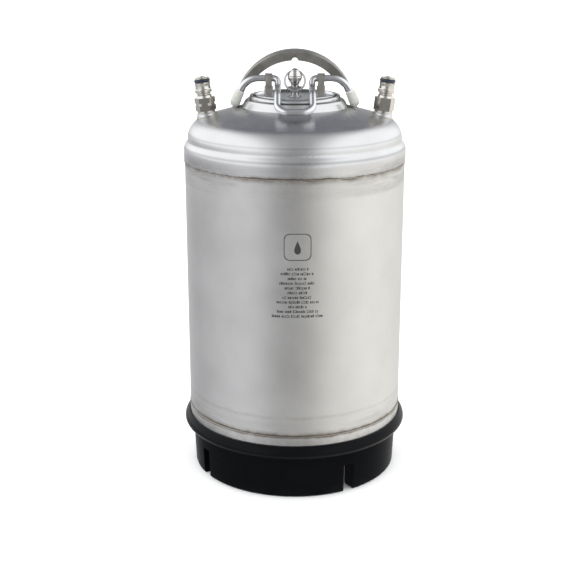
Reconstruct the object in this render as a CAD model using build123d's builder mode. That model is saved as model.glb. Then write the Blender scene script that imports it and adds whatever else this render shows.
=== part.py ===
"""Three-gallon ball-lock keg: shell, heads, boot, handle, posts, oval lid, bail and relief valve.

Millimetres, +Z up, the keg's axis on Z and the floor at z = 0. The front faces -Y.
"""
import math
import os

from build123d import *

# ---- driving dimensions -------------------------------------------------------------
HEIGHT = 420.0            # floor to the top of the carry handle
SHELL_R = 108.0           # outside radius of the straight wall
WALL = 1.2                # straight wall
HEAD_T = 1.5              # pressed heads
SEAM_LOW, SEAM_HIGH = 66.0, 316.0   # the two girth welds

SKIRT_R = 108.7           # upper head where it laps the wall
SHOULDER_R = 104.8        # upper head above its step
SHOULDER_FILLET = 20.0
SHOULDER_Z = 337.6        # height where the shoulder starts to curl in
CONE_SLOPE = 0.282        # fall per mm of radius on the upper head

LOWER_R = 108.2           # lower head at its skirt
KNUCKLE = 38.0
KNUCKLE_Z = 60.0
DISH_Z = 14.0             # lowest point of the lower head

BOOT_R = 103.4            # foot of the rubber boot
BOOT_INNER = 87.0
FLANGE_R = 113.9          # the boot's carrying lip
BOOT_TOP = 56.0
SLOT_W, SLOT_H = 12.0, 29.0
SLOT_ANGLES = (31.0, 121.0, 211.0, 301.0)   # from the front, turning toward +X

MOUTH_A, MOUTH_B = 41.2, 38.6     # half axes of the oval opening
LEDGE_Z = 374.8                   # top of the collar's outer step
LIP_Z = 379.0                     # top of the lip inside that step

LID_A, LID_B = 40.0, 37.4         # raised part of the lid
FLANGE_A, FLANGE_B = 45.0, 40.9   # lid flange under the mouth
LID_TOP, LID_FLOOR = 379.8, 377.6
LID_T = 2.0
FLANGE_Z = 366.0
GASKET_D = 5.5

PIVOT_Z = 394.5                   # bail pivot
ROD_R = 3.175                     # bail rod, quarter inch
LUG_X, LUG_T = 25.3, 6.2
LUG_BLOCK_Z = 386.6               # top of the wider foot of each bracket

HANDLE_R, HANDLE_IN = 60.5, 51.0  # strap arch, outside and flange edge
HANDLE_Z = HEIGHT - HANDLE_R
HANDLE_Y, HANDLE_W, STRAP_T = 8.0, 25.0, 2.5

POST_X, POST_Z, POST_TILT = 86.0, 361.75, 7.0
POST_LEN = 33.6
HEX_AF = 17.5
TUBE_R = 3.95                     # dip tubes, 7.9 outside


# ---- helpers -------------------------------------------------------------------------
def section(plane):
    """Plane through a part's own axis: x is radius, y runs along the axis."""
    return Plane(plane.origin, x_dir=plane.x_dir, z_dir=-plane.y_dir)


def turn(points, plane=Plane.XY, mode=Mode.ADD):
    """Revolve a closed (radius, height) outline about a plane's own normal."""
    with BuildSketch(section(plane)) as outline:
        with BuildLine():
            Polyline(*points, close=True)
        make_face()
    revolve(outline.sketch, axis=Axis(plane.origin, plane.z_dir), mode=mode)


def ring(radius, wire_r, height, plane=Plane.XY, mode=Mode.ADD):
    """A torus about a plane's own normal."""
    with BuildSketch(section(plane)) as outline:
        with Locations((radius, height)):
            Circle(wire_r)
    revolve(outline.sketch, axis=Axis(plane.origin, plane.z_dir), mode=mode)


def oval(a, b, low, high, mode=Mode.ADD):
    """Upright oval block."""
    with BuildSketch(Plane.XY.offset(low)) as outline:
        Ellipse(a, b)
    extrude(outline.sketch, amount=high - low, mode=mode)


def ovals(levels, mode=Mode.ADD):
    """Loft through (half axis x, half axis y, height) ovals."""
    outlines = []
    for a, b, z in levels:
        with BuildSketch(Plane.XY.offset(z)) as outline:
            Ellipse(a, b)
        outlines.append(outline.sketch)
    loft(outlines, mode=mode)


def coil(radius, wire_r, low, high, turns, plane):
    """Open helical spring with its ends at the two heights."""
    length = high - low - 2 * wire_r
    start = plane.offset(low + wire_r)
    path = plane.location * Pos(0, 0, low + wire_r) * Helix(length / turns, length, radius)
    with BuildSketch(Plane(path @ 0, x_dir=start.z_dir, z_dir=path % 0)) as wire:
        Circle(wire_r)
    sweep(wire.sketch, path=path, is_frenet=True)


def write(builder, label):
    """Label one finished sub-part and store it as STEP."""
    builder.part.label = label
    export_step(builder.part, f"parts/{label}.step")


def post_plane(side):
    """Seat of a post: its normal leans outward by the post's tilt."""
    lean = math.radians(POST_TILT) * side
    return Plane(
        (side * POST_X, 0, POST_Z),
        x_dir=(math.cos(lean), 0, -math.sin(lean)),
        z_dir=(math.sin(lean), 0, math.cos(lean)),
    )


GAS, LIQUID = post_plane(-1), post_plane(1)
os.makedirs("parts", exist_ok=True)

# ---- pressure vessel -----------------------------------------------------------------
with BuildPart() as side_shell:
    turn([(SHELL_R - WALL, SEAM_LOW), (SHELL_R, SEAM_LOW), (SHELL_R, SEAM_HIGH),
          (SHELL_R - WALL, SEAM_HIGH)])
write(side_shell, "side_shell")


def upper_outline(inset, foot):
    """Half section of the upper head, or of a solid of the same shape inset by a wall."""
    arc_r = SHOULDER_FILLET - inset
    mid_x = SHOULDER_R - SHOULDER_FILLET
    lean = math.atan(CONE_SLOPE)
    turn_x = mid_x + arc_r * math.sin(lean)
    turn_z = SHOULDER_Z + arc_r * math.cos(lean)
    half = (math.pi / 2 - lean) / 2
    with BuildSketch(Plane.XZ) as outline:
        with BuildLine():
            Line((0, foot), (SKIRT_R - inset, foot))
            Line((SKIRT_R - inset, foot), (SKIRT_R - inset, 326.5 - 0.3 * inset))
            ThreePointArc((SKIRT_R - inset, 326.5 - 0.3 * inset),
                          (108.15 - inset, 330.3 - 0.4 * inset), (106.6 - inset, 333.4 - 0.6 * inset))
            ThreePointArc((106.6 - inset, 333.4 - 0.6 * inset),
                          (105.3 - inset, 335.2 - 0.4 * inset), (SHOULDER_R - inset, SHOULDER_Z))
            ThreePointArc((SHOULDER_R - inset, SHOULDER_Z),
                          (mid_x + arc_r * math.cos(half), SHOULDER_Z + arc_r * math.sin(half)),
                          (turn_x, turn_z))
            Line((turn_x, turn_z), (42, turn_z + CONE_SLOPE * (turn_x - 42)))
            Line((42, turn_z + CONE_SLOPE * (turn_x - 42)), (0, turn_z + CONE_SLOPE * (turn_x - 42)))
            Line((0, turn_z + CONE_SLOPE * (turn_x - 42)), (0, foot))
        make_face()
    return outline.sketch


with BuildPart() as dome:
    revolve(upper_outline(0.0, 300.0), axis=Axis.Z)

with BuildPart() as upper_head:
    revolve(upper_outline(0.0, SEAM_HIGH), axis=Axis.Z)
    # the pressed collar: an outer step, then the rolled lip that overhangs it
    ovals([(52.4, 51.8, 366.6), (50.6, 50.7, 369.4), (49.0, 50.0, 372.4), (46.9, 48.9, LEDGE_Z)])
    ovals([(43.6, 45.0, LEDGE_Z), (44.2, 47.0, 376.4)])
    ovals([(44.2, 47.0, 376.4), (43.9, 46.2, 377.7), (43.0, 42.0, LIP_Z)])
    revolve(upper_outline(HEAD_T, SEAM_HIGH), axis=Axis.Z, mode=Mode.SUBTRACT)
    # room for the lid's gasket under the lip, then the mouth itself
    oval(46.4, 46.6, 360.0, 371.9, mode=Mode.SUBTRACT)
    ovals([(46.4, 46.6, 371.9), (44.2, 43.6, 373.8)], mode=Mode.SUBTRACT)
    oval(MOUTH_A, MOUTH_B, 360.0, 385.0, mode=Mode.SUBTRACT)
    for seat in (GAS, LIQUID):
        with Locations(seat.location):
            Cylinder(8.0, 30, mode=Mode.SUBTRACT)
    fillet(upper_head.edges().filter_by_position(Axis.Z, LIP_Z - 0.01, LIP_Z + 0.01), 0.8)
write(upper_head, "upper_head")


def lower_outline(inset, top):
    """Half section of the dished lower head, filled to its axis."""
    arc_r = KNUCKLE - inset
    mid_x = LOWER_R - KNUCKLE
    lean = math.radians(72)
    end = (mid_x + arc_r * math.cos(lean), KNUCKLE_Z - arc_r * math.sin(lean))
    base = DISH_Z + inset
    rise = end[1] - base
    dish_r = (end[0]**2 + rise**2) / (2 * rise)
    middle = base + dish_r - math.sqrt(dish_r**2 - end[0]**2 / 4)
    with BuildSketch(Plane.XZ) as outline:
        with BuildLine():
            Line((0, top), (LOWER_R - inset, top))
            Line((LOWER_R - inset, top), (LOWER_R - inset, KNUCKLE_Z))
            ThreePointArc((LOWER_R - inset, KNUCKLE_Z),
                          (mid_x + arc_r * math.cos(lean / 2), KNUCKLE_Z - arc_r * math.sin(lean / 2)),
                          end)
            ThreePointArc(end, (end[0] / 2, middle), (0, base))
            Line((0, base), (0, top))
        make_face()
    return outline.sketch


with BuildPart() as bowl:
    revolve(lower_outline(0.0, 80.0), axis=Axis.Z)

with BuildPart() as lower_head:
    revolve(lower_outline(0.0, SEAM_LOW), axis=Axis.Z)
    revolve(lower_outline(HEAD_T, SEAM_LOW), axis=Axis.Z, mode=Mode.SUBTRACT)
write(lower_head, "lower_head")

# ---- rubber boot ---------------------------------------------------------------------
with BuildPart() as rubber_boot:
    with BuildSketch(Plane.XZ):
        with BuildLine():
            Line((BOOT_INNER, 1.5), (BOOT_INNER + 1.5, 0))
            Line((BOOT_INNER + 1.5, 0), (BOOT_R - 1.6, 0))
            Line((BOOT_R - 1.6, 0), (BOOT_R, 1.6))
            Line((BOOT_R, 1.6), (BOOT_R + 1.6, 39.6))
            ThreePointArc((BOOT_R + 1.6, 39.6), (106.4, 42.5), (109.2, 43.7))
            ThreePointArc((109.2, 43.7), (112.6, 45.5), (FLANGE_R, 48.4))
            ThreePointArc((FLANGE_R, 48.4), (112.6, 52.6), (109.0, BOOT_TOP))
            Line((109.0, BOOT_TOP), (BOOT_INNER, BOOT_TOP))
            Line((BOOT_INNER, BOOT_TOP), (BOOT_INNER, 1.5))
        make_face()
    revolve(axis=Axis.Z)
    add(bowl.part, mode=Mode.SUBTRACT)
    for angle in SLOT_ANGLES:
        with Locations(Rot(0, 0, angle) * Pos(0, -BOOT_R + 6, SLOT_H / 2 - 1)):
            Box(SLOT_W, 44, SLOT_H + 2, mode=Mode.SUBTRACT)
write(rubber_boot, "rubber_boot")

# ---- carry handle --------------------------------------------------------------------
with BuildPart() as carry_handle:
    with BuildSketch(Plane.XZ.offset(-HANDLE_Y)):
        with BuildLine():
            low, knee_z = 350.0, 391.0
            knee_x = math.sqrt(HANDLE_IN**2 - (knee_z - HANDLE_Z)**2)
            foot_x = math.sqrt(HANDLE_R**2 - (HANDLE_Z - low)**2)
            ThreePointArc((-foot_x, low), (0, HEIGHT), (foot_x, low))
            Line((foot_x, low), (57.6, 358))
            Polyline((57.6, 358), (56.8, 364), (47.5, 384.5), (knee_x, knee_z))
            ThreePointArc((knee_x, knee_z), (0, HANDLE_Z + HANDLE_IN), (-knee_x, knee_z))
            Polyline((-knee_x, knee_z), (-47.5, 384.5), (-56.8, 364), (-57.6, 358))
            Line((-57.6, 358), (-foot_x, low))
        make_face()
    extrude(amount=-HANDLE_W)
    # hollow of the channel section, open toward the keg
    with BuildSketch(Plane.XZ.offset(-HANDLE_Y - STRAP_T)):
        with Locations((0, HANDLE_Z)):
            Circle(HANDLE_R - STRAP_T)
    extrude(amount=-(HANDLE_W - 2 * STRAP_T), mode=Mode.SUBTRACT)
    rims = carry_handle.edges().filter_by(GeomType.CIRCLE).filter_by(
        lambda e: abs(e.radius - HANDLE_R) < 0.01)
    fillet(rims, 1.6)
    # finger relief at the middle of both flanges
    with Locations(Pos(0, HANDLE_Y + HANDLE_W / 2, HANDLE_Z + HANDLE_IN - 0.4) * Rot(90, 0, 0)):
        Cylinder(3.2, HANDLE_W + 2, mode=Mode.SUBTRACT)
    add(dome.part, mode=Mode.SUBTRACT)
write(carry_handle, "carry_handle")

# ---- ball-lock posts -----------------------------------------------------------------
for side, seat in (("gas", GAS), ("liquid", LIQUID)):
    with BuildPart() as bored_dome:
        add(dome.part)
        with Locations(seat.location):
            Cylinder(8.0, 40, mode=Mode.SUBTRACT)

    with BuildPart() as boss:
        turn([(5.0, -6.5), (8.0, -6.5), (8.0, -1.0), (10.2, -5.2), (9.7, -2.4), (9.3, -1.2),
              (9.3, -0.4), (8.9, 0), (7.4, 0), (7.4, 8.0), (5.0, 8.0)], seat)
        add(bored_dome.part, mode=Mode.SUBTRACT)
    write(boss, f"{side}_post_boss")

    with BuildPart() as post:
        turn([(7.4, 0), (8.8, 0), (8.8, 1.8), (8.5, 2.1), (7.4, 2.1)], seat)
        with BuildSketch(seat.offset(2.1)):
            RegularPolygon(HEX_AF / 2, 6, major_radius=False)
        extrude(amount=12.3)
        turn([(0, 14.4), (8.0, 14.4), (7.3, 16.6), (6.6, 17.2), (6.6, 18.6), (8.2, 19.4),
              (8.2, 22.2), (7.6, 23.0), (7.3, 25.6), (7.75, 28.2), (7.75, 28.9), (4.7, 28.9),
              (4.7, 32.6), (7.1, 32.6), (7.1, 33.0), (6.5, POST_LEN), (0, POST_LEN)], seat)
        # thread bore, poppet chamber and top hole
        turn([(0, -1), (7.4, -1), (7.4, 10.5), (6.4, 11.5), (6.4, 17.0), (5.9, 17.6), (5.9, 27.4),
              (3.4, 28.0), (3.4, 35), (0, 35)], seat, Mode.SUBTRACT)
        if side == "gas":
            # notches across the corners mark the gas side
            for corner in range(6):
                turn_deg = 60 * corner
                spot = seat.location * Rot(0, 0, turn_deg) * Pos(HEX_AF / math.sqrt(3) + 0.2, 0, 8.3)
                with Locations(spot):
                    Box(2.4, 4.0, 2.4, mode=Mode.SUBTRACT)
    write(post, f"{side}_post")

    with BuildPart() as post_ring:
        ring(6.3, 1.55, 30.75, seat)
    write(post_ring, f"{side}_post_o_ring")

    with BuildPart() as poppet:
        turn([(0, 19.4), (2.6, 19.4), (2.6, 24.0), (5.2, 24.0), (5.2, 25.8), (2.9, 25.8),
              (2.9, 34.2), (2.3, 34.8), (0, 34.8)], seat)
    write(poppet, f"{side}_poppet")

    with BuildPart() as poppet_seal:
        ring(3.77, 0.84, 26.67, seat)
    write(poppet_seal, f"{side}_poppet_seal")

    with BuildPart() as poppet_spring:
        coil(4.1, 0.45, 11.5, 24.0, 5, seat)
    write(poppet_spring, f"{side}_poppet_spring")

    with BuildPart() as tube_ring:
        ring(5.6, 1.0, 9.0, seat)
    write(tube_ring, f"{side}_dip_tube_o_ring")

    with BuildPart() as dip_tube:
        top = seat.from_local_coords((0, 0, 10.0))
        top = Vector(*top)
        axis_down = -seat.z_dir
        with BuildLine() as route:
            if side == "gas":
                Line(top, top + axis_down * 46)
            else:
                FilletPolyline(top, top + axis_down * 175, (12, 0, 20), radius=60)
        path = route.wires()[0]
        with BuildSketch(Plane(top, z_dir=axis_down)) as bore:
            Circle(TUBE_R)
            Circle(TUBE_R - 0.7, mode=Mode.SUBTRACT)
        sweep(bore.sketch, path=path)
        turn([(TUBE_R - 0.7, 10.0), (6.2, 10.0), (6.2, 11.2), (5.6, 11.5), (TUBE_R - 0.7, 11.5)],
             seat)
    write(dip_tube, f"{side}_dip_tube")

# ---- lid -----------------------------------------------------------------------------
with BuildPart() as lid_plate:
    oval(FLANGE_A, FLANGE_B, FLANGE_Z, FLANGE_Z + LID_T)
    oval(LID_A, LID_B, FLANGE_Z, LID_TOP)
    oval(LID_A - LID_T, LID_B - LID_T, FLANGE_Z - 1, LID_FLOOR - LID_T, mode=Mode.SUBTRACT)
    ovals([(LID_A - 3.6, LID_B - 3.6, LID_FLOOR), (LID_A - 2.2, LID_B - 2.2, LID_TOP)],
          mode=Mode.SUBTRACT)
    fillet(lid_plate.edges().group_by(Axis.Z)[-1], 0.8)
    with Locations((0, 0, LID_FLOOR)):
        Cylinder(6.2, 12, mode=Mode.SUBTRACT)
write(lid_plate, "lid_plate")

with BuildPart() as lid_gasket:
    spine = Edge.make_ellipse(LID_A + GASKET_D / 2, LID_B + GASKET_D / 2,
                              Plane.XY.offset(FLANGE_Z + LID_T + GASKET_D / 2))
    with BuildSketch(Plane(spine @ 0, x_dir=(1, 0, 0), z_dir=spine % 0)) as wire:
        Circle(GASKET_D / 2)
    sweep(wire.sketch, path=spine)
write(lid_gasket, "lid_gasket")

for side, sign in (("left", -1), ("right", 1)):
    with BuildPart() as bracket:
        with BuildSketch(Plane.XY.offset(LID_FLOOR)):
            with Locations((sign * LUG_X, 0)):
                RectangleRounded(8.2, 13.0, 1.2)
        extrude(amount=LUG_BLOCK_Z - LID_FLOOR)
        with BuildSketch(Plane.YZ.offset(sign * LUG_X - LUG_T / 2)):
            with BuildLine():
                Polyline((-6, 380), (6, 380), (5.6, 396.4), (5.0, 397.6), (-5.0, 397.6),
                         (-5.6, 396.4), close=True)
            make_face()
        extrude(amount=LUG_T)
        # folded top edge
        with Locations((sign * LUG_X, 0, 397.9)):
            Box(7.2, 11.4, 1.4)
        with Locations(Pos(sign * LUG_X, 0, PIVOT_Z) * Rot(0, 90, 0)):
            Cylinder(ROD_R + 0.075, 20, mode=Mode.SUBTRACT)
    write(bracket, f"bail_bracket_{side}")

# ---- relief valve --------------------------------------------------------------------
with BuildPart() as relief_bush:
    turn([(4.9, 374.0), (6.2, 374.0), (6.2, LID_FLOOR), (7.0, LID_FLOOR), (6.8, 378.3),
          (6.3, 378.7), (4.9, 378.7)])
write(relief_bush, "relief_bush")

with BuildPart() as relief_body:
    turn([(0, 371.5), (4.9, 371.5), (4.9, 379), (4.5, 379), (4.5, 387.0), (7.3, 395.2),
          (7.0, 396.0), (0, 396.0)])
    with BuildSketch(Plane.XY.offset(383.0)):
        RegularPolygon(5.8, 6, major_radius=False)
    extrude(amount=3.6)
    turn([(0, 373.6), (3.75, 373.6), (3.75, 384.0), (5.5, 392.0), (5.5, 394.2), (0, 394.2)],
         mode=Mode.SUBTRACT)
    turn([(0, 370), (1.6, 370), (1.6, 374), (0, 374)], mode=Mode.SUBTRACT)
    turn([(0, 394), (1.95, 394), (1.95, 397), (0, 397)], mode=Mode.SUBTRACT)
    with PolarLocations(6.0, 6, start_angle=30):
        with Locations((0, 0, 390.0)):
            Box(5.0, 2.2, 6.0, mode=Mode.SUBTRACT)
write(relief_body, "relief_body")

with BuildPart() as relief_stem:
    turn([(0, 374.2), (1.9, 374.2), (1.9, 375.7), (3.4, 375.7), (3.4, 376.9), (1.6, 376.9),
          (1.6, 396.4), (0, 396.4)])
write(relief_stem, "relief_stem")

with BuildPart() as relief_seal:
    ring(2.68, 0.7, 374.65)
write(relief_seal, "relief_seal")

RING_R, RING_WIRE, RING_HANG = 9.9, 1.1, 24.0
RING_EYE_Z = 401.55
with BuildPart() as relief_cap:
    turn([(0, 396.4), (6.6, 396.4), (7.0, 396.9), (6.8, 397.7), (6.2, 399.0), (5.3, 400.8),
          (3.6, 402.7), (1.6, 403.8), (0, 404.1)])
    # the eye widens toward each side, so the ring clears it at every angle of its swing
    for sign in (-1, 1):
        eye = [(0, 0), (7.4, 0), (7.4, 4.8), (6.4, 3.85), (5.0, 2.85), (3.5, 2.15), (2.0, 1.7), (0, 1.5)]
        with BuildSketch(Plane.XZ) as eye_side:
            with BuildLine():
                Polyline(*[(sign * x, RING_EYE_Z + r) for x, r in eye], close=True)
            make_face()
        revolve(eye_side.sketch, axis=Axis((0, 0, RING_EYE_Z), (1, 0, 0)), mode=Mode.SUBTRACT)
write(relief_cap, "relief_cap")

with BuildPart() as relief_spring:
    coil(3.0, 0.4, 376.9, 394.1, 6, Plane.XY)
write(relief_spring, "relief_spring")

with BuildPart() as pull_ring:
    hang = math.radians(RING_HANG)
    drop = Vector(0, -math.sin(hang), -math.cos(hang))
    centre = Vector(0, 0, RING_EYE_Z) + drop * RING_R
    loop = Plane(centre, x_dir=(1, 0, 0), z_dir=drop.cross(Vector(1, 0, 0)))
    ring(RING_R, RING_WIRE, 0, loop)
write(pull_ring, "pull_ring")

# ---- bail ----------------------------------------------------------------------------
ARM_X = 16.5
FOOT_END = Vector(57.8, 0, 371.95)
FOOT_R = 5.0
CORNER = Vector(48.0, 0, PIVOT_Z)
with BuildPart() as bail_wire:
    tip = FOOT_END + (CORNER - FOOT_END).normalized() * 1.1
    half = [tuple(tip), tuple(CORNER), (ARM_X, 0, PIVOT_Z), (ARM_X, -8, 385.5),
            (ARM_X, -40, 384.2), (ARM_X, -64.8, 370.6)]
    points = half + [(-x, y, z) for x, y, z in reversed(half)]
    bends = [20, 5.15, 12, 20, 11]
    with BuildLine() as spine:
        FilletPolyline(*points, radius=bends + bends[::-1])
    leg_dir = Vector(points[1]) - Vector(points[0])
    with BuildSketch(Plane(points[0], z_dir=leg_dir)) as rod:
        Circle(ROD_R)
    sweep(rod.sketch, path=spine.wires()[0])
write(bail_wire, "bail_wire")

for side, sign in (("left", -1), ("right", 1)):
    with BuildPart() as foot:
        end = Vector(sign * FOOT_END.X, 0, FOOT_END.Z)
        corner = Vector(sign * CORNER.X, 0, CORNER.Z)
        leg = Plane(end, x_dir=(0, 1, 0), z_dir=corner - end)
        reach = (corner - end).length - 13.0
        with BuildSketch(section(leg)):
            with BuildLine():
                ThreePointArc((0, -FOOT_R), (FOOT_R * math.sqrt(0.5), -FOOT_R * math.sqrt(0.5)),
                              (FOOT_R, 0))
                Line((FOOT_R, 0), (4.7, reach - 0.8))
                Line((4.7, reach - 0.8), (3.9, reach))
                Line((3.9, reach), (ROD_R, reach))
                Line((ROD_R, reach), (ROD_R, 1.0))
                Line((ROD_R, 1.0), (0, 1.0))
                Line((0, 1.0), (0, -FOOT_R))
            make_face()
        revolve(axis=Axis(leg.origin, leg.z_dir))
    write(foot, f"bail_foot_{side}")
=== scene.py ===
"""Looks for the ball-lock keg: materials, welds, print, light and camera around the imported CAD."""

import math
import random

import bmesh
import bpy
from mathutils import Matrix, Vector


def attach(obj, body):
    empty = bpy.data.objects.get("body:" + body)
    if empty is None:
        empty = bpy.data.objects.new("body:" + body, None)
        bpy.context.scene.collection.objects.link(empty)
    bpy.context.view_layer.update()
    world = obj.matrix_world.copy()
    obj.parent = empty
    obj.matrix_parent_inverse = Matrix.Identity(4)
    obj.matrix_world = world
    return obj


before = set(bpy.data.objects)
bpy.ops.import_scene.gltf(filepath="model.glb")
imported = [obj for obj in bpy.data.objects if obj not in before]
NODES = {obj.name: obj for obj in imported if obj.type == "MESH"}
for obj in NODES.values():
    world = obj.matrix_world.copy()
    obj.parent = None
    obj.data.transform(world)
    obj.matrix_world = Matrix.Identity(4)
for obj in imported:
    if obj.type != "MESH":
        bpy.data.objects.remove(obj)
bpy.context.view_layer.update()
MM = 0.001
WALL_R_MM = 108.0                    # outside of the side wall
WALL_R = 0.108                       # the same, in metres, for the materials
SKY_LEVEL = 1.0                      # strength of the whole world
FLOOR_HALF = 40.0                    # half the floor's side
FLOOR_GLOW = 0.22                    # the floor's own light, to keep it near white
GLOW_EDGE = (0.096, 0.108)           # it starts and is full at these distances from the axis
FILL_AT, FILL_SIDE, FILL_POWER = (0, 1.0, 3.5), 7.0, 160
CAMERA_AT = (-0.00664, -1.1309, 0.5231)                 # camera fitted to the photo
CAMERA_LENS, CAMERA_SENSOR = 72.48, 36.0
CAMERA_DOWN = 16.745                 # degrees below level


# ---------------------------------------------------------------- shader helpers
class Shader:
    """A small writer for one node material."""

    def __init__(self, name):
        self.mat = bpy.data.materials.new(name)
        self.mat.use_nodes = True
        self.tree = self.mat.node_tree
        self.bsdf = self.tree.nodes["Principled BSDF"]
        self.coord = self.tree.nodes.new("ShaderNodeTexCoord").outputs["Object"]

    def put(self, socket, value):
        if isinstance(value, bpy.types.NodeSocket):
            self.tree.links.new(value, socket)
        elif isinstance(value, (tuple, list)) and len(value) == 3 and socket.type == "RGBA":
            socket.default_value = (*value, 1.0)
        else:
            socket.default_value = value

    def node(self, kind, out=0, inputs=None, **props):
        n = self.tree.nodes.new(kind)
        for k, v in props.items():
            setattr(n, k, v)
        for k, v in (inputs or {}).items():
            self.put(n.inputs[k], v)
        return n.outputs[out]

    def math(self, op, a, b=0.0, clamp=False):
        return self.node("ShaderNodeMath", operation=op, use_clamp=clamp, inputs={0: a, 1: b})

    def xyz(self):
        n = self.tree.nodes.new("ShaderNodeSeparateXYZ")
        self.put(n.inputs[0], self.coord)
        return n.outputs

    def vec(self, x, y, z):
        return self.node("ShaderNodeCombineXYZ", inputs={0: x, 1: y, 2: z})

    def scaled(self, vector, scale):
        return self.node("ShaderNodeVectorMath", operation="MULTIPLY", inputs={0: vector, 1: scale})

    def polar(self, radius):
        """(arc length round Z, radius, height), all in metres."""
        x, y, z = self.xyz()
        angle = self.math("ARCTAN2", y, x)
        flat = self.math("SQRT", self.math("ADD", self.math("MULTIPLY", x, x), self.math("MULTIPLY", y, y)))
        return self.vec(self.math("MULTIPLY", angle, radius), flat, z)

    def noise(self, vector, scale, detail=3.0, rough=0.5, distort=0.0):
        return self.node("ShaderNodeTexNoise", inputs={
            "Vector": vector, "Scale": scale, "Detail": detail, "Roughness": rough, "Distortion": distort})

    def span(self, value, low, high, to_low, to_high):
        return self.node("ShaderNodeMapRange", inputs={
            "Value": value, "From Min": low, "From Max": high, "To Min": to_low, "To Max": to_high})

    def ramp(self, value, stops):
        """Grey levels at positions from 0 to 1."""
        n = self.tree.nodes.new("ShaderNodeValToRGB")
        self.put(n.inputs[0], value)
        while len(n.color_ramp.elements) < len(stops):
            n.color_ramp.elements.new(0.5)
        for e, (at, grey) in zip(n.color_ramp.elements, stops):
            e.position = at
            e.color = (grey, grey, grey, 1.0)
        return n.outputs[0]

    def mix(self, factor, a, b):
        n = self.tree.nodes.new("ShaderNodeMix")
        n.data_type = "RGBA"
        self.put(n.inputs[0], factor)
        self.put(n.inputs[6], a)
        self.put(n.inputs[7], b)
        return n.outputs[2]

    def bump(self, height, strength, distance, normal=None):
        inputs = {"Strength": strength, "Distance": distance, "Height": height}
        if normal is not None:
            inputs["Normal"] = normal
        return self.node("ShaderNodeBump", inputs=inputs)

    def set(self, **values):
        for k, v in values.items():
            self.put(self.bsdf.inputs[k.replace("_", " ").title()], v)
        return self.mat


def near(s, z, at, width):
    """1 at a height, falling smoothly to 0 at a distance above or below it."""
    gap = s.math("ABSOLUTE", s.math("SUBTRACT", z, at))
    return s.node("ShaderNodeMapRange", interpolation_type="SMOOTHSTEP", inputs={
        "Value": gap, "From Min": 0.0, "From Max": width, "To Min": 1.0, "To Max": 0.0})


SCRATCH, SCRATCH_WIDTH, SCRATCH_TONE = 0.5, 0.0035, (0.86, 0.86, 0.87)      # the first is how much one shows
TINT_WANDER = 0.004                  # how far a weld tint's edge strays up and down
FRONT_HALF = (0.035, 0.095)          # |x| where a tint kept off the front starts, and where it is whole


def steel(name, light, dark, rough, grain, grain_scale, grain_bump, blotch=18.0,
          seams=(), creases=(), polar=True):
    """Stainless steel with a directional grain, blotches, hairline scratches, tinted weld zones and painted
    shade in lap gaps, creases and near the boot.

    light, dark: the two tones of the blotches; rough: its range; grain: stretch of the fine grain along
    each axis; polar: the grain runs round the keg's axis.
    A seam is (height, half width, tint, strength, share left in the middle of the front, or None for all).
    A crease is a line of painted shade: (height, half width, strength).
    """
    s = Shader(name)
    base = s.polar(WALL_R) if polar else s.coord
    stretched = s.scaled(base, grain)
    fine = s.noise(stretched, grain_scale, 4.0, 0.6)
    broad = s.noise(s.coord, blotch, 3.0, 0.55)
    cloud = s.noise(s.coord, blotch * 0.25, 2.0, 0.5)
    colour = s.mix(s.span(broad, 0.3, 0.7, 0.0, 1.0), dark, light)
    colour = s.mix(s.span(cloud, 0.35, 0.65, 0.0, 0.22), colour, dark)
    # hairline scratches: a distorted noise cut to thin lines, wiped away in places
    lines = s.noise(s.scaled(base, (9, 1, 0.6)), 60.0, 2.0, 0.5, 0.4)
    thin = s.math("LESS_THAN", s.math("ABSOLUTE", s.math("SUBTRACT", lines, 0.5)), SCRATCH_WIDTH)
    wipe = s.math("GREATER_THAN", s.noise(s.coord, 14.0, 1.0), 0.52)
    mark = s.math("MULTIPLY", s.math("MULTIPLY", thin, wipe), SCRATCH)
    rough_value = s.span(fine, 0.3, 0.7, rough[0], rough[1])
    rough_value = s.math("ADD", rough_value, s.span(broad, 0.35, 0.7, -0.03, 0.05))
    if seams:
        z = s.xyz()[2]
        stray = s.math("SUBTRACT", s.noise(s.polar(WALL_R), 55.0, 4.0, 0.65), 0.5)
        zj = s.math("ADD", z, s.math("MULTIPLY", stray, TINT_WANDER))
        patchy = s.span(s.noise(s.polar(WALL_R), 42.0, 5.0, 0.7), 0.36, 0.60, 0.30, 1.0)
        streaks = s.noise(s.scaled(s.polar(WALL_R), (0.35, 1, 2.4)), 60.0, 5.0, 0.7)
        streaky = s.span(streaks, 0.40, 0.62, 0.10, 1.0)
        side = s.span(s.math("ABSOLUTE", s.xyz()[0]), *FRONT_HALF, 0.0, 1.0)
        for at, width, tint, strength, even in seams:
            if even is None:
                cover = s.math("MULTIPLY", patchy, strength)
            else:
                share = s.math("ADD", s.math("MULTIPLY", side, 1.0 - even), even)
                cover = s.math("MULTIPLY", s.math("MULTIPLY", share, streaky), strength)
            zone = s.math("MULTIPLY", near(s, zj, at, width), cover, clamp=True)
            colour = s.mix(zone, colour, tint)
            rough_value = s.math("ADD", rough_value, s.math("MULTIPLY", zone, 0.08))
    # painted shade along the head's creases
    for at, width, strength in creases:
        colour = s.mix(s.math("MULTIPLY", near(s, s.xyz()[2], at, width), strength), colour, CREASE_SHADE)
    colour = s.mix(s.math("MULTIPLY", mark, 0.35), colour, SCRATCH_TONE)
    rough_value = s.math("ADD", rough_value, s.math("MULTIPLY", mark, 0.12), clamp=True)
    height = s.math("ADD", fine, s.math("MULTIPLY", mark, -1.0))
    normal = s.bump(height, grain_bump, 0.0004)
    normal = s.bump(s.noise(s.coord, 9.0, 2.0, 0.5), 0.10, 0.004, normal)
    return s.set(base_color=colour, metallic=1.0, roughness=rough_value, normal=normal)


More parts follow.
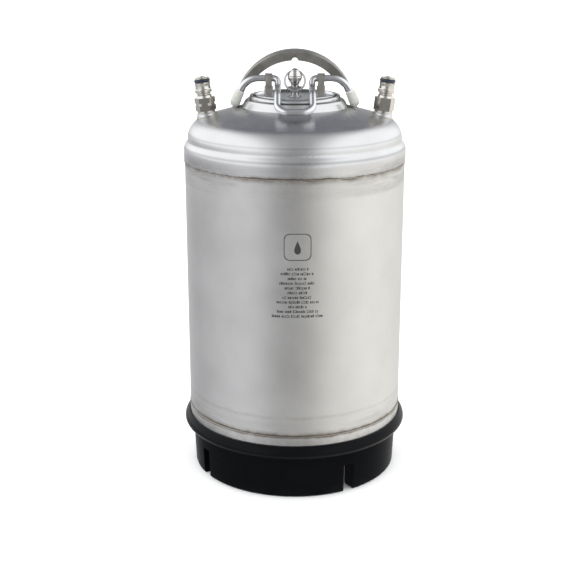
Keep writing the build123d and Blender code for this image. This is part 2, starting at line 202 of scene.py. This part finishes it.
LIP_TURN = (0.042, 0.047)            # heights between which the boot turns from neck to lip
DUST_TOP, DUST_TONE = 0.010, (0.16, 0.15, 0.14)         # dust on the boot fades out at this height


def rubber(name, colour, lighter, rough, grain=900.0, bump=0.15, dust=0.0, lip=None):
    """Moulded rubber: pebbled, paler on its worn edges.

    dust: how dusty it is low down; lip: its gloss below and above the underside of the boot's lip.
    """
    s = Shader(name)
    fine = s.noise(s.coord, grain, 3.0, 0.6)
    broad = s.noise(s.coord, 30.0, 3.0, 0.6)
    shade = s.mix(s.span(broad, 0.35, 0.7, 0.0, 0.6), colour, lighter)
    if dust:
        z = s.xyz()[2]
        low = s.math("MULTIPLY", s.span(z, 0.0, DUST_TOP, 1.0, 0.0), s.span(broad, 0.4, 0.7, 0.0, dust))
        shade = s.mix(low, shade, DUST_TONE)
    edge = s.node("ShaderNodeNewGeometry", out="Pointiness")
    shade = s.mix(s.span(edge, 0.52, 0.6, 0.0, 0.5), shade, lighter)
    rough_value = s.span(s.math("ADD", fine, broad), 0.7, 1.3, rough[0], rough[1])
    if lip:
        z = s.xyz()[2]
        s.put(s.bsdf.inputs["Specular IOR Level"], s.span(z, *LIP_TURN, *lip))
        rough_value = s.math("SUBTRACT", rough_value, s.span(z, *LIP_TURN, 0.0, 0.10))
    return s.set(base_color=shade, roughness=rough_value, normal=s.bump(fine, bump, 0.0003))


# tints of the seam zones
LAP_GAP_SHADE = (0.05, 0.045, 0.04)       # painted shade in the gap where one sheet laps the other
WELD_DARK = (0.26, 0.23, 0.20)
# a greyer band; low on the keg it is painted shade and painted reflection of the black boot
GREY_BAND = (0.38, 0.37, 0.35)
HEAT_TINT = (0.27, 0.26, 0.25)
# painted shade in the head's creases
CREASE_SHADE = (0.20, 0.20, 0.20)
mats = {
    "shell": steel("shell_steel", (0.62, 0.615, 0.605), (0.55, 0.545, 0.535), (0.29, 0.38), (14, 1, 1), 320,
                   0.14,
                   # the lap lines are painted shade in the lap gaps; the grey bands at 0.0745 and 0.0850 are
                   # painted shade and painted reflection of the black boot; the one at 0.3000 is a plain
                   # greyer band
                   seams=[(0.3158, 0.0017, LAP_GAP_SHADE, 1.8, None), (0.3145, 0.0040, WELD_DARK, 0.80, None),
                          (0.3090, 0.0110, HEAT_TINT, 0.60, 0.35), (0.3000, 0.005, GREY_BAND, 0.60, 0.5),
                          (0.0664, 0.0026, LAP_GAP_SHADE, 1.9, None), (0.0675, 0.0045, WELD_DARK, 0.80, None),
                          (0.0745, 0.011, GREY_BAND, 0.6, 0.4), (0.0850, 0.0030, GREY_BAND, 0.45, None)]),
    "head": steel("head_steel", (0.605, 0.605, 0.605), (0.525, 0.525, 0.53), (0.26, 0.34), (1, 1, 14), 300,
                  0.05,
                  # the lap lines are painted shade in the lap gaps; the grey band at 0.0590, below the lower
                  # weld, is painted shade and painted reflection of the black boot; the creases are painted
                  # shade
                  seams=[(0.3163, 0.0014, LAP_GAP_SHADE, 1.6, None), (0.3170, 0.0030, WELD_DARK, 0.6, None),
                         (0.3205, 0.0075, HEAT_TINT, 0.6, 0.3),
                         (0.0656, 0.0020, LAP_GAP_SHADE, 1.6, None), (0.0650, 0.0030, WELD_DARK, 0.7, None),
                         (0.0590, 0.0085, GREY_BAND, 0.9, None)],
                  creases=[(0.3306, 0.0022, 0.50), (0.3433, 0.0014, 0.30)]),
    "strap": steel("strap_steel", (0.40, 0.385, 0.36), (0.25, 0.24, 0.22), (0.30, 0.44), (1, 20, 1), 260, 0.16,
                   blotch=60.0, polar=False),
    "lid": steel("lid_steel", (0.64, 0.65, 0.67), (0.55, 0.56, 0.58), (0.22, 0.30), (1, 1, 1), 260, 0.03,
                 polar=False),
    "bracket": steel("bracket_steel", (0.60, 0.58, 0.54), (0.42, 0.405, 0.37), (0.26, 0.38), (1, 1, 8), 300,
                     0.12, blotch=70.0, polar=False),
    "post": steel("post_steel", (0.68, 0.655, 0.615), (0.46, 0.435, 0.40), (0.09, 0.17), (1, 1, 16), 700, 0.10,
                  polar=False),
    "valve": steel("valve_steel", (0.70, 0.69, 0.68), (0.56, 0.54, 0.52), (0.07, 0.13), (1, 1, 12), 500, 0.04,
                   polar=False),
    "bail": steel("bail_steel", (0.68, 0.69, 0.71), (0.58, 0.59, 0.61), (0.20, 0.28), (8, 8, 8), 120, 0.03,
                  polar=False),
    "spring": steel("spring_steel", (0.62, 0.62, 0.63), (0.50, 0.50, 0.50), (0.16, 0.26), (6, 6, 6), 200, 0.04,
                    polar=False),
    "weld": steel("weld_steel", (0.50, 0.46, 0.40), (0.34, 0.30, 0.26), (0.28, 0.42), (1, 1, 1), 900, 0.25,
                  polar=False),
    "boot": rubber("boot_rubber", (0.0036, 0.0039, 0.0047), (0.0050, 0.0054, 0.0064), (0.24, 0.34), dust=0.05,
                   lip=(0.012, 0.055)),
    "seal": rubber("dark_rubber", (0.012, 0.016, 0.030), (0.02, 0.03, 0.055), (0.25, 0.38), 700, 0.1),
    "foot": rubber("foot_rubber", (0.60, 0.61, 0.56), (0.72, 0.73, 0.69), (0.24, 0.38), 500, 0.12),
}
foot_sockets = mats["foot"].node_tree.nodes["Principled BSDF"].inputs
foot_sockets["Subsurface Weight"].default_value = 0.35
foot_sockets["Subsurface Radius"].default_value = (0.004, 0.004, 0.003)

LOOKS = {
    "shell": ["side_shell"],
    "head": ["upper_head", "lower_head", "gas_post_boss", "liquid_post_boss"],
    "strap": ["carry_handle"],
    "boot": ["rubber_boot"],
    "post": ["gas_post", "liquid_post", "gas_poppet", "liquid_poppet"],
    "lid": ["lid_plate", "relief_bush"],
    "bracket": ["bail_bracket_left", "bail_bracket_right"],
    "valve": ["relief_body", "relief_stem", "relief_cap"],
    "bail": ["bail_wire"],
    "spring": ["pull_ring", "relief_spring", "gas_poppet_spring", "liquid_poppet_spring", "gas_dip_tube",
               "liquid_dip_tube"],
    "seal": ["gas_post_o_ring", "liquid_post_o_ring", "gas_poppet_seal", "liquid_poppet_seal",
             "gas_dip_tube_o_ring", "liquid_dip_tube_o_ring", "relief_seal", "lid_gasket"],
    "foot": ["bail_foot_left", "bail_foot_right"],
}
for look, names in LOOKS.items():
    for name in names:
        NODES[name].data.materials.clear()
        NODES[name].data.materials.append(mats[look])


# ---------------------------------------------------------------- mesh helpers
def make(name, verts, faces, look, body, smooth=True):
    """A mesh piece that rides on a CAD body and takes a material slot of the record."""
    mesh = bpy.data.meshes.new(name)
    mesh.from_pydata([tuple(v) for v in verts], [], faces)
    mesh.validate()
    bm = bmesh.new()
    bm.from_mesh(mesh)
    bmesh.ops.recalc_face_normals(bm, faces=bm.faces)
    bm.to_mesh(mesh)
    bm.free()
    for p in mesh.polygons:
        p.use_smooth = smooth
    mesh.materials.append(mats[look])
    o = bpy.data.objects.new(name, mesh)
    bpy.context.scene.collection.objects.link(o)
    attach(o, body)
    return o


CONE_OUT, CONE_TOP, CONE_SLOPE = 90.2, 382.3, 0.282     # where the head's cone ends, its height at the axis
SHOULDER_R, SHOULDER_X, SHOULDER_Z = 20.0, 84.8, 337.6  # the head's shoulder: its round and the centre of it


def dome_z(r):
    """Height of the upper head's outside at a radius (cone, then shoulder), millimetres."""
    if r < CONE_OUT:
        return CONE_TOP - CONE_SLOPE * r
    return SHOULDER_Z + math.sqrt(max(0.0, SHOULDER_R ** 2 - (r - SHOULDER_X) ** 2))


def on_dome(x, y):
    return Vector((x, y, dome_z(math.hypot(x, y)))) * MM


def densify(points, step, closed):
    """Points along straight runs, no further apart than step."""
    out = []
    pairs = zip(points, points[1:] + points[:1]) if closed else zip(points, points[1:])
    for a, b in pairs:
        n = max(1, round((b - a).length / step))
        out += [a.lerp(b, i / n) for i in range(n)]
    return out if closed else out + [points[-1]]


BEAD_PITCH, BEAD_SIDES = 1.3 * MM, 8
# shares of a bead's radius: how far each scale rises, how much that varies, an open end, its height
SCALE_RISE, SCALE_ODDS, BEAD_END, BEAD_FLAT = 0.16, 0.04, 0.25, 0.8


def bead(name, points, radius, body, seed, closed=True, look="weld"):
    """A weld bead: a slightly flat tube whose skin rises and falls in overlapping scales."""
    rng = random.Random(seed)
    points = densify(points, BEAD_PITCH / 3.0, closed)
    n = len(points)
    verts, faces = [], []
    phase = 0.0
    for i, p in enumerate(points):
        a = points[i - 1] if i or closed else p
        b = points[(i + 1) % n] if i < n - 1 or closed else p
        along = (b - a).normalized()
        side = along.cross(Vector((0, 0, 1))).normalized()
        up = side.cross(along).normalized()
        phase += (b - a).length / 2 / BEAD_PITCH
        scale = 1.0 + SCALE_RISE * (1.0 - (phase % 1.0)) + rng.uniform(-SCALE_ODDS, SCALE_ODDS)
        if not closed and i in (0, n - 1):
            scale = BEAD_END
        for k in range(BEAD_SIDES):
            t = 2 * math.pi * k / BEAD_SIDES
            verts.append(p + (side * math.cos(t) + up * math.sin(t) * BEAD_FLAT) * radius * scale)
    for i in range(n if closed else n - 1):
        for k in range(BEAD_SIDES):
            here, ahead, m = i * BEAD_SIDES, (i + 1) % n * BEAD_SIDES, (k + 1) % BEAD_SIDES
            faces.append((here + k, here + m, ahead + m, ahead + k))
    if not closed:
        faces.append(tuple(reversed(range(BEAD_SIDES))))
        faces.append(tuple(range((n - 1) * BEAD_SIDES, n * BEAD_SIDES)))
    return make(name, verts, faces, look, body)


def circle(radius, z, n):
    return [Vector((radius * math.cos(2 * math.pi * i / n), radius * math.sin(2 * math.pi * i / n), z))
            for i in range(n)]


# ---------------------------------------------------------------- weld beads, in millimetres until scaled
SEAM_R, SEAM_BEAD = 108.15, 0.45     # the girth welds: radius round the axis and of the bead itself
SEAM_HIGH, SEAM_LOW = 315.7, 66.0    # where the heads lap the side wall
POST_TILT = 7.0                      # degrees
BOSS_SEAT = (86.0, 361.75)           # x and z of a boss's foot on its axis
BOSS_WELD_R, BOSS_BEAD = 9.9, 0.8
HANDLE_END = ((56.6, 8.0), (60.7, 7.9), (60.7, 33.1), (56.9, 33.0))     # the strap's end, seen from above
HANDLE_BEAD = 1.0
LID_FLOOR = 377.7
LUG_X, LUG_HALF, LUG_BEAD = 25.3, (4.0, 6.4), 0.6       # a bail bracket's foot on the lid
BUSH_WELD_R, BUSH_BEAD = 7.1, 0.5

for name, height, seed in (("upper", SEAM_HIGH, 3), ("lower", SEAM_LOW, 4)):
    ring = circle(SEAM_R * MM, height * MM, 360)
    bead(f"seam_bead_{name}", ring, SEAM_BEAD * MM, "keg", seed)
tilt = math.radians(POST_TILT)
for side, name in ((-1, "gas"), (1, "liquid")):
    axis = Vector((side * math.sin(tilt), 0, math.cos(tilt)))
    out = Vector((math.cos(tilt), 0, -side * math.sin(tilt)))
    seat = Vector((side * BOSS_SEAT[0], 0, BOSS_SEAT[1]))
    loop = []
    for i in range(72):
        t = 2 * math.pi * i / 72
        spot = seat + (out * math.cos(t) + Vector((0, 1, 0)) * math.sin(t)) * BOSS_WELD_R
        for _ in range(6):                       # slide along the boss's axis down to the head
            spot -= axis * (spot.z - dome_z(math.hypot(spot.x, spot.y)))
        loop.append(spot * MM)
    bead(f"{name}_boss_weld", loop, BOSS_BEAD * MM, "keg", 5 + side)
    hand = "left" if side < 0 else "right"
    run = densify([Vector((side * x, y, 0)) for x, y in HANDLE_END], 0.4, False)
    bead(f"handle_weld_{hand}", [on_dome(p.x, p.y) for p in run], HANDLE_BEAD * MM, "keg",
         9 + side, closed=False)
    lug = [Vector((side * LUG_X + dx * LUG_HALF[0], dy * LUG_HALF[1], LID_FLOOR)) * MM
           for dx, dy in ((-1, -1), (1, -1), (1, 1), (-1, 1))]
    bead(f"bracket_weld_{hand}", lug, LUG_BEAD * MM, "lid", 12 + side, look="bracket")
bead("bush_weld", circle(BUSH_WELD_R * MM, LID_FLOOR * MM, 90), BUSH_BEAD * MM, "lid", 15,
     look="lid")

# ---------------------------------------------------------------- print on the wall
ink = Shader("print_ink")
mats["ink"] = ink.set(base_color=ink.mix(ink.span(ink.noise(ink.coord, 1500.0, 3.0), 0.35, 0.65, 0.0, 0.5),
                                         (0.018, 0.018, 0.02), (0.06, 0.06, 0.065)), roughness=0.55)


INK_LIFT = (0.01, 0.06)              # both faces of the ink, above the wall


class Print:
    """Thin closed slabs that hug the wall; u runs round the wall from the front, v is height, in mm."""

    def __init__(self):
        self.verts, self.faces = [], []

    def point(self, u, v, lift):
        r, a = WALL_R_MM + lift, u / WALL_R_MM
        return Vector((r * math.sin(a), -r * math.cos(a), v)) * MM

    def strip(self, edge_a, edge_b):
        """A slab between two lines of (u, v) points of the same count."""
        n, base = len(edge_a), len(self.verts)
        for lift in INK_LIFT:
            for edge in (edge_a, edge_b):
                self.verts += [self.point(u, v, lift) for u, v in edge]
        for i in range(n - 1):
            a, b, c, d = i, i + 1, n + i + 1, n + i
            self.faces.append(tuple(base + k for k in (a, b, c, d)))
            self.faces.append(tuple(base + 2 * n + k for k in (d, c, b, a)))
            self.faces.append((base + a, base + 2 * n + a, base + 2 * n + b, base + b))
            self.faces.append((base + c, base + 2 * n + c, base + 2 * n + d, base + d))
        for i in (0, n - 1):
            self.faces.append((base + i, base + n + i, base + 3 * n + i, base + 2 * n + i))


CENTRE_U, MARK_V, MARK_HALF = 2.1, 254.0, 12.7      # middle of the mark and half its size
MARK_CORNER, MARK_LINE = 5.5, 0.75
ROW_WIDTHS = (19, 31, 18, 34, 24, 19, 28, 39, 17, 38, 48)
ROW_TOP, ROW_STEP = 232.0, 4.55
STROKE, STROKE_GAP, WORD_GAP = 0.75, 0.34, 1.1          # a stroke's line, the spaces after it and after a word
STROKE_WIDE, STROKE_TALL, WORD_LONG = (0.8, 1.5), (2.0, 2.0, 2.6), (3, 8)
DROP_HALF, DROP_TALL, DROP_DOWN, DROP_TIP = 4.3, 6.4, 0.4, 0.02     # the drop: its size, its place, its point
mark = Print()
outline = []
for cx, cy, start in ((1, 1, 0), (-1, 1, 90), (-1, -1, 180), (1, -1, 270)):
    for i in range(9):
        t = math.radians(start + 90 * i / 8)
        outline.append((cx * (MARK_HALF - MARK_CORNER) + MARK_CORNER * math.cos(t),
                        cy * (MARK_HALF - MARK_CORNER) + MARK_CORNER * math.sin(t)))
outline.append(outline[0])
fine = []
for (ax, ay), (bx, by) in zip(outline, outline[1:]):
    fine += [(ax + (bx - ax) * i / 8, ay + (by - ay) * i / 8) for i in range(8)]
outline = fine + [outline[0]]
shrink = (MARK_HALF - MARK_LINE) / MARK_HALF
mark.strip([(CENTRE_U + x, MARK_V + y) for x, y in outline],
           [(CENTRE_U + x * shrink, MARK_V + y * shrink) for x, y in outline])
drop_l, drop_r = [], []
for i in range(25):                              # a drop: round below, pointed above
    t = math.pi * i / 24
    half = DROP_HALF * math.sin(t) * math.sin(t / 2) ** 1.5
    v = MARK_V - DROP_DOWN + DROP_TALL * math.cos(t)
    drop_l.append((CENTRE_U - half - DROP_TIP, v))
    drop_r.append((CENTRE_U + half + DROP_TIP, v))
mark.strip(drop_l, drop_r)
make("print_mark", mark.verts, mark.faces, "ink", "keg", smooth=False)

# rows of strokes that spell nothing
rows = Print()
rng = random.Random(21)
for k, width in enumerate(ROW_WIDTHS):
    v, u, end = ROW_TOP - ROW_STEP * k, CENTRE_U - width / 2, CENTRE_U + width / 2
    word = rng.randint(*WORD_LONG)
    while u < end - 0.6:
        w, h = rng.uniform(*STROKE_WIDE), rng.choice(STROKE_TALL)
        for low, high in ((0.0, STROKE), (h - STROKE, h)) if rng.random() < 0.4 else ((0.0, h),):
            rows.strip([(u, v + low), (u + w, v + low)], [(u, v + high), (u + w, v + high)])
        u += w + STROKE_GAP
        word -= 1
        if word == 0:
            u += WORD_GAP
            word = rng.randint(*WORD_LONG)
make("print_rows", rows.verts, rows.faces, "ink", "keg", smooth=False)

# ---------------------------------------------------------------- floor, light, camera
floor_mesh = bpy.data.meshes.new("floor")
corners = ((-1, -1), (1, -1), (1, 1), (-1, 1))
floor_mesh.from_pydata([(x * FLOOR_HALF, y * FLOOR_HALF, 0) for x, y in corners], [], [(0, 1, 2, 3)])
floor = bpy.data.objects.new("floor", floor_mesh)
bpy.context.scene.collection.objects.link(floor)
fs = Shader("floor_white")
# the floor's own glow stops at the boot, so the hollow under the keg stays dark behind its slots
fx, fy, _ = fs.xyz()
from_axis = fs.math("SQRT", fs.math("ADD", fs.math("MULTIPLY", fx, fx), fs.math("MULTIPLY", fy, fy)))
floor_mesh.materials.append(fs.set(
    base_color=fs.mix(fs.noise(fs.coord, 3.0), (0.92, 0.92, 0.92), (0.95, 0.95, 0.95)), roughness=0.9,
    emission_color=(1.0, 1.0, 1.0), emission_strength=fs.span(from_axis, *GLOW_EDGE, 0.0, FLOOR_GLOW)))
floor.visible_glossy = False

world = bpy.data.worlds.new("studio")
bpy.context.scene.world = world
world.use_nodes = True


class Sky(Shader):
    """The same writer over the world's nodes: a soft tent, brighter at the sides, dark high at the back."""

    def __init__(self):
        self.tree = world.node_tree
        self.coord = self.tree.nodes.new("ShaderNodeTexCoord").outputs["Generated"]


sky = Sky()
sx, sy, sz = sky.xyz()


def soft(value, low, high):
    return sky.node("ShaderNodeMapRange", interpolation_type="SMOOTHSTEP", inputs={
        "Value": value, "From Min": low, "From Max": high, "To Min": 0.0, "To Max": 1.0})


# round the keg, below the horizon: (degrees from the front toward +X, level)
ROUND = ((-180, 0.80), (-150, 0.76), (-134, 0.56), (-106, 0.66), (-70, 0.86), (-50, 0.92), (-33, 0.82),
         (-17, 0.34), (0, 0.20), (16, 0.52), (32, 1.00), (51, 1.18), (90, 1.36), (123, 1.24), (150, 1.02),
         (180, 0.90))
PEAK = 1.4
COOL, WARM = (0.985, 0.995, 1.03), (1.01, 1.0, 0.965)
FRONT_PATCH = (0.78, 0.78, 0.77)
OVERHEAD, SIDES, BACK_GAP = (0.42, 0.425, 0.43), (1.60, 1.62, 1.64), (0.13, 0.14, 0.19)
HORIZON = (-0.06, 0.10)
turn = sky.math("ARCTAN2", sx, sky.math("MULTIPLY", sy, -1.0))
round_level = sky.ramp(sky.span(turn, -math.pi, math.pi, 0.0, 1.0),
                       [((a + 180) / 360, v / PEAK) for a, v in ROUND])
low = sky.scaled(round_level, (PEAK, PEAK, PEAK))
# a pale patch low in front, then a cooler left and a warmer right
ahead = sky.math("MULTIPLY", soft(sky.math("ABSOLUTE", turn), 0.75, 0.20), soft(sz, -0.285, -0.345))
low = sky.mix(sky.math("MULTIPLY", ahead, 0.80), low, FRONT_PATCH)
low = sky.mix(soft(sx, -0.6, 0.6), sky.scaled(low, COOL), sky.scaled(low, WARM))
# above the horizon: dull in the middle, bright at the sides, with a dark gap high at the back
wide = sky.math("ABSOLUTE", sx)
high = sky.mix(soft(wide, 0.18, 0.62), OVERHEAD, SIDES)
back_gap = sky.math("MULTIPLY", soft(sy, 0.15, 0.55),
                    sky.math("MULTIPLY", soft(sz, 0.20, 0.45), soft(wide, 0.50, 0.12)))
high = sky.mix(sky.math("MULTIPLY", back_gap, 0.75), high, BACK_GAP)
tent = sky.mix(soft(sz, *HORIZON), low, high)
world.node_tree.nodes["Background"].inputs[1].default_value = SKY_LEVEL
sky.put(world.node_tree.nodes["Background"].inputs[0], tent)

# one large panel overhead, only to light the floor: it shows in no reflection
fill_data = bpy.data.lights.new("floor_fill", "AREA")
fill_data.shape, fill_data.size, fill_data.size_y = "RECTANGLE", FILL_SIDE, FILL_SIDE
fill_data.energy = FILL_POWER
fill = bpy.data.objects.new("floor_fill", fill_data)
fill.location = FILL_AT
fill.rotation_euler = Vector((0, 0, -1)).to_track_quat("-Z", "Y").to_euler()
fill.visible_camera = False
fill.visible_glossy = False
bpy.context.scene.collection.objects.link(fill)

cam_data = bpy.data.cameras.new("camera")
cam_data.lens, cam_data.sensor_width = CAMERA_LENS, CAMERA_SENSOR
cam_data.clip_start, cam_data.clip_end = 0.05, 100
cam = bpy.data.objects.new("camera", cam_data)
cam.location = CAMERA_AT
cam.rotation_euler = (math.radians(90 - CAMERA_DOWN), 0, 0)
bpy.context.scene.collection.objects.link(cam)
bpy.context.scene.camera = cam
bpy.context.scene.view_settings.view_transform = "Standard"
